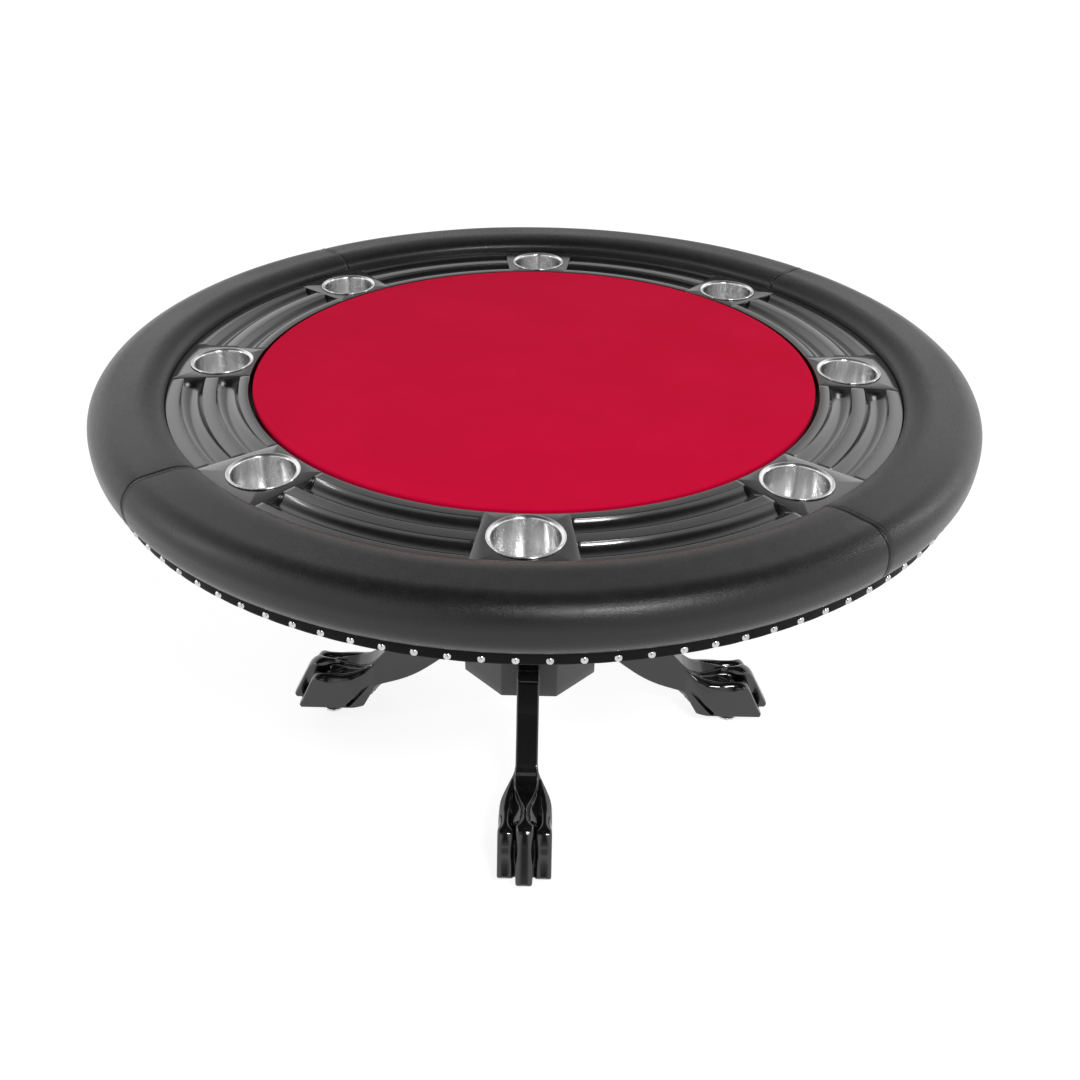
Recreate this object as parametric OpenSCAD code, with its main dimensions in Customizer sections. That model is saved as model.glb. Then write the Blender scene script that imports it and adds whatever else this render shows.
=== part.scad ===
// Round poker table for eight players: padded rail, racetrack with chip grooves and cup holders,
// lift-out playing surface, octagonal pedestal column and four paw-footed legs.
// +Z is up, the floor is z = 0 and the table's axis is the Z axis.  All sizes in millimetres.

/* [Table] */
// Outer diameter over the padded rail
table_d = 1397; // [1380:1:1420]
// Height from the floor to the top of the rail
table_h = 762; // [750:1:780]
// Height of the rail's top above the racetrack
rail_rise = 25; // [20:1:30]

/* [Racetrack] */
// Radius of the circle that the cup holders stand on
cup_circle_r = 515; // [512:1:518]
// Radius where the racetrack starts
track_in_r = 459; // [458:1:460]
// Radius where the racetrack ends at the rail
track_out_r = 584; // [583:1:585]
// Thickness of the trays and cup blocks
track_t = 30; // [26:1:34]
// Half the angle that one cup block covers, in degrees
block_half_a = 6.9; // [6.7:0.1:7.4]
// Radius of a chip groove's round section
groove_r = 20.2; // [19.5:0.1:21]
// Radius of the inner groove's centre line
groove_in_r = 491.5; // [490:0.5:493]
// Radius of the outer groove's centre line
groove_out_r = 546; // [544:0.5:547]
// Half the width of a groove at the top
groove_half_w = 17.6; // [16.5:0.1:18]

/* [Cup holders] */
// Radius of the rolled rim
cup_rim_r = 51; // [50:0.5:51.5]
// Outer radius of the cup's wall
cup_wall_r = 45.5; // [44:0.5:46]
// Sheet thickness
cup_t = 1; // [0.8:0.1:1.4]
// Depth below the racetrack
cup_depth = 60; // [50:1:62]

/* [Playing surface] */
// Radius of the cloth-covered board
cloth_r = 452.5; // [440:0.5:454]
// Thickness of the cloth
cloth_t = 1; // [0.8:0.1:1.5]
// Thickness of the foam under the cloth
foam_t = 4; // [3:0.5:5]
// Thickness of the playing board
board_t = 12; // [9:1:12]
// Height of the cloth above the racetrack
cloth_rise = 2; // [1:0.5:3]

/* [Rail] */
// Inner radius of the rail at the racetrack
rail_in_r = 585; // [585:0.5:587]
// Thickness of the vinyl
vinyl_t = 1.5; // [1:0.1:2]
// Angle of the first seam between two vinyl panels
seam_a = 40; // [35:1:45]

/* [Apron] */
// Outer radius of the apron band
apron_r = 683; // [680:1:686]
// Height of the apron band
apron_h = 38; // [34:1:38]
// Thickness of the apron band
apron_t = 26; // [20:1:28]
// Number of dome nails
nail_count = 108; // [96:4:120]
// Angle of the first nail from +X, in degrees
nail_first_a = 2.7; // [0:0.1:3.3]
// Radius of a nail's head
nail_r = 5.2; // [4:0.1:6]

/* [Deck] */
// Thickness of the deck and the top plate
deck_t = 18; // [16:1:18]
// Width of the top plate across its flats
top_plate_w = 480; // [400:10:520]

/* [Column] */
// Width of the column across its flats
column_w = 242; // [236:1:250]
// Wall thickness of the column
column_t = 18; // [16:1:22]
// Height of the column's lower end above the floor
column_z = 137; // [125:1:140]

/* [Legs] */
// Thickness of a leg's centre board
leg_t = 38; // [36:1:40]
// Width over the paw
paw_w = 89; // [86:1:92]
// Height of the paw's underside above the floor
paw_z = 30; // [28:1:32]
// Distance of the middle toe's tip from the table's axis
toe_r = 459; // [455:1:462]

/* [Levellers] */
// Distance of a leveller from the table's axis
leveller_r = 386; // [380:1:392]
// Radius of a leveller's pad
pad_r = 21.5; // [18:0.5:22]
// Thickness of a leveller's pad
pad_t = 8; // [6:1:9]
// Radius of a leveller's stud
stud_r = 5; // [4:0.5:5]

/* [Hidden] */
seats = 8;
leg_count = 4;
panel_count = 4;
seat_a = 360 / seats;
leg_a = 360 / leg_count;
near_a = -90;

track_z = table_h - rail_rise;
track_low_z = track_z - track_t;
cloth_z = track_z + cloth_rise;
foam_low_z = cloth_z - cloth_t - foam_t;
board_low_z = foam_low_z - board_t;
deck_low_z = track_low_z - deck_t;
plate_low_z = deck_low_z - deck_t;

rail_out_r = table_d / 2;
base_ring_t = 18;
rail_wide_z = track_low_z + base_ring_t;
rail_low_z = track_low_z - 10;
rail_top_in_r = rail_in_r + 42;
rail_top_out_r = rail_out_r - 36;
skin_gap = 0.3;
rail_hem_r = apron_r + skin_gap + vinyl_t;
base_ring_r = rail_hem_r - vinyl_t;

column_r = column_w / 2;
hull_cut = 1;

cup_low_z = track_z - cup_depth;
cup_bore_r = cup_wall_r + 1;

insert_r = 8;
insert_l = 26;
stud_l = 50;
bolt_r = 4;
bolt_zs = [222, 300];

$fn = 96;

// Points of a cubic curve through n steps, without its first point
function curve(a, b, c, d, n) = [for (i = [1:n]) let (t = i / n, s = 1 - t)
    s * s * s * a + 3 * s * s * t * b + 3 * s * t * t * c + t * t * t * d];

// Points of an elliptic arc around c, from angle a0 to a1
function arc(c, rx, rz, a0, a1, n) = [for (i = [0:n]) let (a = a0 + (a1 - a0) * i / n)
    [c[0] + rx * cos(a), c[1] + rz * sin(a)]];

function reversed(v) = [for (i = [len(v) - 1:-1:0]) v[i]];

// Turns children to seat number i, the first of which faces -Y
module at_seat(i) rotate(near_a + i * seat_a) children();

// Turns children to leg number i, the first of which faces -Y
module at_leg(i) rotate(near_a + i * leg_a) children();

// Ring between two radii
module ring(r0, r1, z0, z1) translate([0, 0, z0]) difference() {
    cylinder(r = r1, h = z1 - z0, $fn = 180);
    translate([0, 0, -hull_cut]) cylinder(r = r0, h = z1 - z0 + 2 * hull_cut, $fn = 180);
}

// Sector of a revolved outline, centred on +X, that covers half_a degrees to each side
module sector(half_a) rotate(-half_a) rotate_extrude(angle = 2 * half_a, $fn = 180) children();

// Upright eight-sided prism with one face towards -Y
module octagon(w, z0, z1) translate([0, 0, z0]) rotate(22.5)
    cylinder(r = w / 2 / cos(22.5), h = z1 - z0, $fn = 8);

/* Playing surface */

// Cloth over the top and down the board's edge
module playing_cloth() color("crimson") rotate_extrude($fn = 180) polygon([
    [0, cloth_z - cloth_t], [cloth_r - cloth_t, cloth_z - cloth_t], [cloth_r - cloth_t, board_low_z],
    [cloth_r, board_low_z], [cloth_r, cloth_z - 2], [cloth_r - 1, cloth_z - 0.6],
    [cloth_r - 3, cloth_z], [0, cloth_z]]);

module playing_foam() color("khaki") translate([0, 0, foam_low_z])
    cylinder(r = cloth_r - cloth_t, h = foam_t, $fn = 180);

module playing_board() color("burlywood") translate([0, 0, board_low_z])
    cylinder(r = cloth_r - cloth_t, h = board_t, $fn = 180);

module board_riser() color("tan") translate([0, 0, track_low_z])
    cylinder(r = cloth_r - 12, h = board_low_z - track_low_z, $fn = 180);

/* Racetrack */

// Outline of the racetrack's full section
module track_outline() translate([track_in_r, track_low_z])
    square([track_out_r - track_in_r, track_t]);

// Round channel of a chip groove whose centre line has radius r
module groove_outline(r) {
    rise = sqrt(groove_r * groove_r - groove_half_w * groove_half_w);
    intersection() {
        translate([r, track_z + rise]) circle(r = groove_r, $fn = 48);
        translate([r - groove_half_w, track_low_z]) square([2 * groove_half_w, track_t + hull_cut]);
    }
}

module chip_tray(i) color("dimgray") at_seat(i + 0.5) sector(seat_a / 2 - block_half_a) difference() {
    track_outline();
    groove_outline(groove_in_r);
    groove_outline(groove_out_r);
}

module cup_block(i) color("black") at_seat(i) difference() {
    sector(block_half_a) track_outline();
    translate([cup_circle_r, 0, track_low_z - hull_cut])
        cylinder(r = cup_bore_r, h = track_t + 2 * hull_cut);
}

// Deep-drawn cup with a flat flange and a rolled edge
module cup_holder(i) color("silver") at_seat(i) translate([cup_circle_r, 0, 0]) rotate_extrude()
    polygon(concat(
        [[0, cup_low_z], [cup_wall_r - 5, cup_low_z]],
        arc([cup_wall_r - 5, cup_low_z + 5], 5, 5, -75, 0, 5),
        [[cup_wall_r, track_z], [cup_rim_r - 0.4, track_z], [cup_rim_r, track_z + 0.6],
         [cup_rim_r, track_z + 1.6], [cup_rim_r - 1, track_z + 2.4], [cup_rim_r - 3, track_z + 2.4],
         [cup_rim_r - 5, track_z + 1.2], [cup_wall_r - cup_t, track_z + 0.4]],
        arc([cup_wall_r - 5, cup_low_z + 5], 5 - cup_t, 5 - cup_t, 0, -75, 5),
        [[cup_wall_r - 5, cup_low_z + cup_t], [0, cup_low_z + cup_t]]));

/* Rail */

// Outline of the padded rail from its inner side over the top to the ring's underside,
// drawn in by d
function rail_over(d) = concat(
    arc([rail_top_in_r, track_z + 4], 42 - d, rail_rise - 4 - d, 180, 90, 8),
    arc([rail_top_out_r, rail_wide_z], 36 - d, table_h - rail_wide_z - d, 90, 0, 10),
    curve([rail_out_r - d, rail_wide_z], [rail_out_r - d, rail_wide_z - 7],
        [rail_hem_r + 5 - d, track_low_z + 6], [rail_hem_r + 3 - d, track_low_z], 4));

// Corners of the vinyl's hem below the ring, drawn in by d
function rail_hem(d) = [[rail_hem_r + 1 - d, rail_low_z + 4], [rail_hem_r - d, rail_low_z]];

// Length number i of the rail, a quarter of the circle less a joint of angle gap
module rail_quarter(i, gap = 0) rotate(seam_a + i * 360 / panel_count)
    rotate_extrude(angle = 360 / panel_count - gap, $fn = 180) children();

module rail_cover(i) color("black") rail_quarter(i) polygon(concat(
    [[rail_in_r, track_low_z]], rail_over(0), rail_hem(0),
    reversed(rail_hem(vinyl_t)), reversed(rail_over(vinyl_t)), [[rail_in_r + vinyl_t, track_low_z]]));

module rail_foam() color("khaki") for (i = [0:panel_count - 1]) rail_quarter(i, 0.03) polygon(concat(
    [[rail_in_r + vinyl_t, rail_wide_z]], rail_over(vinyl_t),
    [[base_ring_r, track_low_z], [base_ring_r, rail_wide_z]]));

module rail_base_ring() color("burlywood")
    ring(rail_in_r + vinyl_t, base_ring_r, track_low_z, rail_wide_z);

/* Apron and deck */

module apron_band() color("black") ring(apron_r - apron_t, apron_r, track_low_z - apron_h, track_low_z);

// Dome nails, each a spherical cap on a short shank
module upholstery_nails() {
    cap_h = 2.8;
    sphere_r = (nail_r * nail_r + cap_h * cap_h) / (2 * cap_h);
    nail_z = track_low_z - apron_h + 7;
    color("silver") for (i = [0:nail_count - 1]) rotate(nail_first_a + i * 360 / nail_count)
        translate([apron_r, 0, nail_z]) rotate([0, 90, 0]) {
            intersection() {
                translate([0, 0, cap_h - sphere_r]) sphere(r = sphere_r, $fn = 48);
                cylinder(r = nail_r + 1, h = cap_h + 1, $fn = 24);
            }
            translate([0, 0, -10]) cylinder(r = 0.9, h = 10.5, $fn = 16);
        }
}

module table_deck() color("burlywood") difference() {
    translate([0, 0, deck_low_z]) cylinder(r = apron_r - apron_t, h = deck_t, $fn = 180);
    for (i = [0:seats - 1]) at_seat(i) translate([cup_circle_r, 0, deck_low_z - hull_cut])
        cylinder(r = cup_bore_r + 1, h = deck_t + 2 * hull_cut);
}

module column_top_plate() color("burlywood") octagon(top_plate_w, plate_low_z, deck_low_z);

// Screws up through the top plate and through the deck into the rail's ring
module deck_screws() color("goldenrod") {
    for (i = [0:seats - 1]) rotate((i + 0.5) * seat_a) translate([top_plate_w / 2 - 40, 0, 0])
        wood_screw(plate_low_z, 32);
    for (i = [0:2 * seats - 1]) rotate((i + 0.5) * seat_a / 2) translate([640, 0, 0])
        wood_screw(deck_low_z, 32);
}

// Pan-head screw that points up from the underside at z
module wood_screw(z, l) translate([0, 0, z]) {
    translate([0, 0, -2.4]) cylinder(r = 4.4, h = 2.4, $fn = 24);
    translate([0, 0, -0.2]) cylinder(r = 2.2, h = l, $fn = 24);
}

/* Column */

module column() color("black") difference() {
    octagon(column_w, column_z, plate_low_z);
    octagon(column_w - 2 * column_t, column_z - hull_cut, plate_low_z + hull_cut);
    for (i = [0:leg_count - 1], z = bolt_zs) at_leg(i) translate([column_r - column_t - hull_cut, 0, z])
        rotate([0, 90, 0]) cylinder(r = bolt_r + 0.5, h = column_t + 2 * hull_cut, $fn = 32);
}

module column_bottom_plate() color("burlywood")
    octagon(column_w - 2 * column_t, column_z, column_z + deck_t);

// Hanger bolts with a washer and a hexagon nut on the inside of the column
module leg_bolts() color("silver") for (i = [0:leg_count - 1], z = bolt_zs) at_leg(i)
    translate([column_r - column_t, 0, z]) rotate([0, 90, 0]) {
        translate([0, 0, -14]) cylinder(r = bolt_r, h = column_t + 54, $fn = 32);
        translate([0, 0, -2]) cylinder(r = 10, h = 2, $fn = 32);
        translate([0, 0, -9]) cylinder(r = 7.5, h = 7, $fn = 6);
    }

/* Legs */

// Upper edge of the leg's centre board, from the column out over the knuckle to the toe's tip
function leg_top_edge() = concat(
    [[column_r, 336], [150, 336]],
    arc([150, 326], 10, 10, 75, 0, 4),
    [[160, 268]],
    arc([170, 268], 10, 10, 195, 270, 4),
    [[194, 258]],
    curve([194, 258], [214, 258], [224, 242], [238, 212], 7),
    curve([238, 212], [254, 176], [266, 160], [290, 133], 6),
    curve([290, 133], [308, 114], [322, 112], [350, 114], 6),
    curve([350, 114], [374, 116], [382, 124], [404, 122], 5),
    curve([404, 122], [428, 120], [420, 92], [440, 72], 7),
    curve([440, 72], [452, 62], [toe_r, 56], [toe_r, 44], 4),
    curve([toe_r, 44], [toe_r, 34], [toe_r - 3, paw_z], [toe_r - 12, paw_z], 4));

// Lower edge of the board, from the heel back up to the column
function leg_low_edge() = concat(
    [[334, paw_z]],
    arc([334, paw_z + 7], 7, 7, 255, 195, 3),
    curve([327, paw_z + 7], [318, 52], [306, 64], [280, 72], 6),
    curve([280, 72], [256, 80], [232, 86], [198, 112], 6),
    curve([198, 112], [170, 134], [150, 150], [column_r, 190], 5));

// Board of thickness t standing in the plane y = 0, with its outline in radius and height
module upright(t) rotate([90, 0, 0]) translate([0, 0, -t / 2]) linear_extrude(t) children();

module leg(i) color("black") at_leg(i) difference() {
    upright(leg_t) polygon(concat(leg_top_edge(), leg_low_edge()));
    translate([leveller_r, 0, paw_z - hull_cut]) cylinder(r = insert_r, h = insert_l + hull_cut);
    translate([leveller_r, 0, paw_z]) cylinder(r = stud_r + 0.6, h = stud_l + 4);
    for (z = bolt_zs) translate([column_r - hull_cut, 0, z]) rotate([0, 90, 0])
        cylinder(r = bolt_r, h = (z > 258 ? 32 : 50), $fn = 32);
}

// Outline of a side toe in radius and height
function toe_outline() = concat(
    [[330, paw_z], [toe_r - 22, paw_z], [toe_r - 18, paw_z + 5]],
    curve([toe_r - 18, paw_z + 5], [toe_r - 16, 58], [toe_r - 24, 58], [428, 72], 5),
    curve([428, 72], [414, 88], [420, 104], [396, 106], 5),
    curve([396, 106], [370, 106], [356, 102], [330, 108], 4),
    [[306, 116], [300, 108], [300, 72], [312, 50]]);

// The pair of side toes on both faces of the centre board, flared out from the ankle
module paw_sides(i) color("black") at_leg(i) for (s = [-1, 1]) intersection() {
    upright(2 * paw_w) polygon(toe_outline());
    linear_extrude(200) polygon([for (p = [[296, leg_t / 2], [322, 32], [346, paw_w / 2],
        [toe_r - 20, paw_w / 2], [toe_r, paw_w / 2 - 2], [toe_r, leg_t / 2]]) [p[0], s * p[1]]]);
}

/* Levellers */

module leveller_inserts() color("goldenrod") for (i = [0:leg_count - 1]) at_leg(i)
    translate([leveller_r, 0, paw_z]) difference() {
        cylinder(r = insert_r, h = insert_l);
        translate([0, 0, -hull_cut]) cylinder(r = stud_r + 0.06, h = insert_l + 2 * hull_cut);
    }

// Low domed pad with a socket for the stud's foot
module leveller_pad(i) color("silver") at_leg(i) translate([leveller_r, 0, 0]) difference() {
    rotate_extrude() polygon(concat(
        [[0, 0], [pad_r - 1, 0], [pad_r, 1], [pad_r, 3]],
        curve([pad_r, 3], [pad_r - 2, 6], [12, pad_t], [9, pad_t], 6),
        [[0, pad_t]]));
    translate([0, 0, 3]) cylinder(r = stud_r + 0.06, h = pad_t);
}

module leveller_stud(i) color("silver") at_leg(i) translate([leveller_r, 0, 3]) {
    cylinder(r = stud_r, h = stud_l);
    translate([0, 0, pad_t - 3]) cylinder(r = 7.5, h = 5, $fn = 6);
}

playing_cloth();
playing_foam();
playing_board();
board_riser();
for (i = [1:seats]) chip_tray(i - 1);
for (i = [1:seats]) cup_block(i - 1);
for (i = [1:seats]) cup_holder(i - 1);
for (i = [1:panel_count]) rail_cover(i - 1);
rail_foam();
rail_base_ring();
apron_band();
upholstery_nails();
table_deck();
column_top_plate();
deck_screws();
column();
column_bottom_plate();
leg_bolts();
for (i = [1:leg_count]) leg(i - 1);
for (i = [1:leg_count]) paw_sides(i - 1);
for (i = [1:leg_count]) leveller_pad(i - 1);
for (i = [1:leg_count]) leveller_stud(i - 1);
leveller_inserts();
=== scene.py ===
"""Looks of a round poker table for eight: speed cloth, chip racetrack, steel cups, padded vinyl rail,
nailed apron, eight-sided column and four gloss paw legs.  Sizes below are in millimetres and are
brought to metres by MM as each mesh is made."""
import math

import bmesh
import bpy
import numpy as np
from mathutils import Matrix, Vector


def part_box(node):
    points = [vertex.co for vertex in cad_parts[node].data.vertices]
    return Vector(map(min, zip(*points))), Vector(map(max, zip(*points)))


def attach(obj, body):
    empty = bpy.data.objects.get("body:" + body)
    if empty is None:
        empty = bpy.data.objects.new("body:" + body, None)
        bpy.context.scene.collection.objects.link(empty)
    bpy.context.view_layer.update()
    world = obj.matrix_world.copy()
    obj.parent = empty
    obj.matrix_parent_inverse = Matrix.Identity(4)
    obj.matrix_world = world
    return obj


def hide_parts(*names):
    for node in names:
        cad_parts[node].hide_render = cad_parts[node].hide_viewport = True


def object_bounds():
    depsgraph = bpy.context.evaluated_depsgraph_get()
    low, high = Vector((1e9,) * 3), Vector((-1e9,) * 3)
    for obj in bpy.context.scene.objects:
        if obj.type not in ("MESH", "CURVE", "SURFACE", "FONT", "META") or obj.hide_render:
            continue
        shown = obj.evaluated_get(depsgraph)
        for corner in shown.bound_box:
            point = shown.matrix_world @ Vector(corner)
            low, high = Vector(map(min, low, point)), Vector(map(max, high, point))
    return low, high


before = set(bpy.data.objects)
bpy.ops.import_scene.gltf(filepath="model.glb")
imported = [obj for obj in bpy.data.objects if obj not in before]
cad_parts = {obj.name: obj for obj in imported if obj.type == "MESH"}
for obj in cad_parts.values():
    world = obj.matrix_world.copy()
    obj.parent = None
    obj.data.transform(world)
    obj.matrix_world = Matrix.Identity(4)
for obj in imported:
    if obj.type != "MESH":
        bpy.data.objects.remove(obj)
cad_box = [list(corner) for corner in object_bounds()]

MM = 0.001
SEATS, LEGS, PANELS, NAILS, FIRST_NAIL = 8, 4, 4, 108, 2.7
SEAT_STEP, LEG_STEP, PANEL_STEP = 360 / SEATS, 360 / LEGS, 360 / PANELS
NEAR, FIRST_SEAM = -90, 40

low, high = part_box("chip_tray_1")
TRACK_Z = high.z / MM
TRACK_LOW = low.z / MM
low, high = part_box("playing_cloth")
CLOTH_Z, BOARD_LOW, CLOTH_R = high.z / MM, low.z / MM, high.x / MM
low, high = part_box("rail_base_ring")
RING_TOP, RING_R = high.z / MM, high.x / MM
low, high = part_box("apron_band")
APRON_LOW, APRON_R = low.z / MM, high.x / MM
low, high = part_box("column")
COLUMN_LOW, COLUMN_TOP, COLUMN_W = low.z / MM, high.z / MM, (high.y - low.y) / MM
low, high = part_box("cup_holder_1")
CUP_LOW, CUP_RING = low.z / MM, -(low.y + high.y) / 2 / MM
low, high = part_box("leg_2")
PAW_Z, TOE_R = low.z / MM, high.x / MM
low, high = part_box("leveller_pad_2")
LEVELLER_R, PAD_R, PAD_TOP = (low.x + high.x) / 2 / MM, (high.y - low.y) / 2 / MM, high.z / MM
RAIL_TOP = cad_box[1][2] / MM
RAIL_R = cad_box[1][0] / MM

TRACK_IN, TRACK_OUT, BLOCK_HALF = 459, 584, 6.9
RAIL_IN, SKIN, HEM_R = 585, 1.5, RING_R + 1.5
HEM_Z = TRACK_LOW - 19
RAIL_STEP = 2.2


# ---------------------------------------------------------------- outlines

def curve(a, b, c, d, n):
    """Cubic curve from a to d pulled by b and c, as n points without the first:
    s^3 a + 3 s^2 t b + 3 s t^2 c + t^3 d, where t runs to 1 and s = 1 - t."""
    t = np.arange(1, n + 1)[:, None] / n
    s = 1 - t
    a, b, c, d = (np.array(p, float) for p in (a, b, c, d))
    return s**3 * a + 3 * s**2 * t * b + 3 * s * t**2 * c + t**3 * d


def arc(centre, rx, rz, start, end, n):
    """Elliptic arc round centre: (rx cos a, rz sin a) as a goes from start to end degrees, n + 1 points."""
    a = np.radians(np.linspace(start, end, n + 1))
    return np.stack([centre[0] + rx * np.cos(a), centre[1] + rz * np.sin(a)], -1)


def outline(*parts):
    """One array of points from single points and arrays of points."""
    return np.concatenate([np.atleast_2d(np.array(p, float)) for p in parts])


def eased(points, radius, steps=4):
    """Closed outline with each corner replaced by a small curve that leaves its edges at radius,
    or at half an edge where that is less, and is pulled towards the corner."""
    points = np.array(points, float)
    reach = np.broadcast_to(np.array(radius, float), len(points))
    back, ahead = np.roll(points, 1, 0) - points, np.roll(points, -1, 0) - points
    back_l, ahead_l = np.linalg.norm(back, axis=1), np.linalg.norm(ahead, axis=1)
    start = points + back * (np.minimum(reach, back_l * 0.49) / back_l)[:, None]
    end = points + ahead * (np.minimum(reach, ahead_l * 0.49) / ahead_l)[:, None]
    t = np.linspace(0, 1, steps + 1)[None, :, None]
    bend = (1 - t)**2 * start[:, None] + 2 * t * (1 - t) * points[:, None] + t**2 * end[:, None]
    return bend.reshape(-1, 2)


def evenly(points, step, closed=False):
    """The same line with points about step apart along its length."""
    points = outline(points, points[:1]) if closed else np.array(points, float)
    length = np.concatenate([[0], np.cumsum(np.linalg.norm(np.diff(points, axis=0), axis=1))])
    at = np.linspace(0, length[-1], max(2, round(length[-1] / step)) + 1)
    if closed:
        at = at[:-1]
    return np.stack([np.interp(at, length, points[:, k]) for k in range(2)], -1)


def drawn_in(points, distance):
    """Closed outline moved inwards by distance along its corner directions."""
    side = np.roll(points, -1, 0) - np.roll(points, 1, 0)
    side = side / np.maximum(np.linalg.norm(side, axis=1), 1e-9)[:, None]
    ahead = np.roll(points, -1, 0)
    turn = np.sign((points[:, 0] * ahead[:, 1] - ahead[:, 0] * points[:, 1]).sum())
    return points + distance * turn * np.stack([-side[:, 1], side[:, 0]], -1)


def about_axis(radius, height, degrees):
    """Points at radius, height and angle about the Z axis: (r cos a, r sin a, z)."""
    a = np.radians(degrees)
    return np.stack(np.broadcast_arrays(radius * np.cos(a), radius * np.sin(a), height), -1)


def turned(points, degrees):
    """Points turned about the Z axis."""
    c, s = math.cos(math.radians(degrees)), math.sin(math.radians(degrees))
    x, y, z = points[..., 0], points[..., 1], points[..., 2]
    return np.stack([c * x - s * y, s * x + c * y, z], -1)


# ---------------------------------------------------------------- meshes

def grid_faces(points, wrap=(False, False), caps=False):
    """Vertices, faces and the two grid shares of each face corner for a grid of points.
    A wrapped direction joins its last line to its first; caps close the first and last row."""
    rows, columns = points.shape[:2]
    r, c = np.meshgrid(np.arange(rows - (not wrap[0])), np.arange(columns - (not wrap[1])), indexing="ij")
    corner_r = np.stack([r, r + 1, r + 1, r], -1).reshape(-1, 4)
    corner_c = np.stack([c, c, c + 1, c + 1], -1).reshape(-1, 4)
    faces = ((corner_r % rows) * columns + corner_c % columns).tolist()
    shares = np.stack([corner_r / rows, corner_c / columns], -1).reshape(-1, 2)
    if caps:
        faces += [list(range(columns)), list(range((rows - 1) * columns, rows * columns))[::-1]]
        shares = np.concatenate([shares, np.zeros((2 * columns, 2))])
    return points.reshape(-1, 3), faces, shares


def solid(name, parts, material, body, stands_for=(), sharp=38, weld=True):
    """One piece from grids of points: their doubled points merged, faces turned outwards,
    corners sharper than the given angle kept crisp."""
    verts, faces, shares = [], [], []
    for points, wrap, caps in parts:
        v, f, s = grid_faces(points, wrap, caps)
        start = sum(len(x) for x in verts)
        faces += [[i + start for i in face] for face in f] if start else f
        verts.append(v)
        shares.append(s)
    mesh = bpy.data.meshes.new(name)
    mesh.from_pydata((np.concatenate(verts) * MM).tolist(), [], faces)
    layer = mesh.uv_layers.new(name="lay")
    layer.data.foreach_set("uv", np.concatenate(shares).astype(np.float32).ravel())
    work = bmesh.new()
    work.from_mesh(mesh)
    if weld:
        bmesh.ops.remove_doubles(work, verts=work.verts, dist=1e-6)
        bmesh.ops.dissolve_degenerate(work, edges=work.edges, dist=1e-7)
    bmesh.ops.recalc_face_normals(work, faces=work.faces)
    work.to_mesh(mesh)
    work.free()
    return placed(name, mesh, material, body, stands_for, sharp)


def placed(name, mesh, material, body, stands_for=(), sharp=38):
    """Object at the origin for a finished mesh, with its finish, its body and the CAD nodes it stands for."""
    mesh.shade_smooth()
    if sharp:
        mesh.set_sharp_from_angle(angle=math.radians(sharp))
    piece = bpy.data.objects.new(name, mesh)
    bpy.context.scene.collection.objects.link(piece)
    mesh.materials.append(material)
    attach(piece, body)
    if stands_for:
        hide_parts(*stands_for)
    return piece


def spun(profile, segments, centre=(0, 0), closed=False):
    """Grid of a profile of radius and height turned about an upright axis at centre."""
    angles = np.arange(segments)[None, :] * 360 / segments
    points = about_axis(profile[:, :1], profile[:, 1:], angles) + np.array([*centre, 0])
    return points, (closed, True), False


def carried(section, degrees, insets):
    """Grid of a closed section of radius and height carried round the Z axis: row i stands at degrees[i]
    and is drawn in by insets[i]."""
    rows = [about_axis(s[:, 0], s[:, 1], a) for s, a in
            ((drawn_in(section, d) if d else section, a) for d, a in zip(insets, degrees))]
    return np.stack(rows), (False, True), True


# ---------------------------------------------------------------- finishes

def add(tree, kind, values=None, **settings):
    """Node of a kind, with its settings and the values or links of its inputs."""
    made = tree.nodes.new(kind)
    for key, value in settings.items():
        setattr(made, key, value)
    for key, value in (values or {}).items():
        if isinstance(value, bpy.types.NodeSocket):
            tree.links.new(value, made.inputs[key])
        else:
            made.inputs[key].default_value = value
    return made


def sums(tree, operation, a, b=0.5, c=None, clamp=False):
    """Result of one arithmetic step on two or three values."""
    values = {0: a, 1: b} if c is None else {0: a, 1: b, 2: c}
    return add(tree, "ShaderNodeMath", values, operation=operation, use_clamp=clamp).outputs[0]


def times(tree, a, b):
    return sums(tree, "MULTIPLY", a, b)


def spread(tree, value, low, high, to_low=0.0, to_high=1.0):
    """Value between low and high brought to between to_low and to_high, smoothly."""
    return add(tree, "ShaderNodeMapRange", {"Value": value, "From Min": low, "From Max": high,
               "To Min": to_low, "To Max": to_high}, interpolation_type="SMOOTHSTEP").outputs[0]


def tinted(tree, share, first, second):
    """Colour that goes from first to second as share goes from 0 to 1."""
    mix = add(tree, "ShaderNodeMix", {0: share}, data_type="RGBA")
    for k, colour in ((6, first), (7, second)):
        if isinstance(colour, bpy.types.NodeSocket):
            tree.links.new(colour, mix.inputs[k])
        else:
            mix.inputs[k].default_value = (*colour, 1)
    return mix.outputs[2]


def effect(name, inputs, outputs):
    """Empty node group with number inputs, a Place vector input and number outputs."""
    tree = bpy.data.node_groups.new(name, "ShaderNodeTree")
    tree.interface.new_socket("Place", in_out="INPUT", socket_type="NodeSocketVector")
    for label, value in inputs.items():
        socket = tree.interface.new_socket(label, in_out="INPUT", socket_type="NodeSocketFloat")
        socket.default_value = value
    for label in outputs:
        tree.interface.new_socket(label, in_out="OUTPUT", socket_type="NodeSocketFloat")
    return tree, tree.nodes.new("NodeGroupInput").outputs, tree.nodes.new("NodeGroupOutput").inputs


def noise(tree, place, scale, detail=2.0, rough=0.5):
    return add(tree, "ShaderNodeTexNoise", {"Vector": place, "Scale": scale, "Detail": detail,
               "Roughness": rough}).outputs["Fac"]


def look_up(tree):
    """How far a face looks up, from -1 to 1."""
    normal = add(tree, "ShaderNodeNewGeometry").outputs["Normal"]
    return add(tree, "ShaderNodeSeparateXYZ", {0: normal}).outputs[2]


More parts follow.
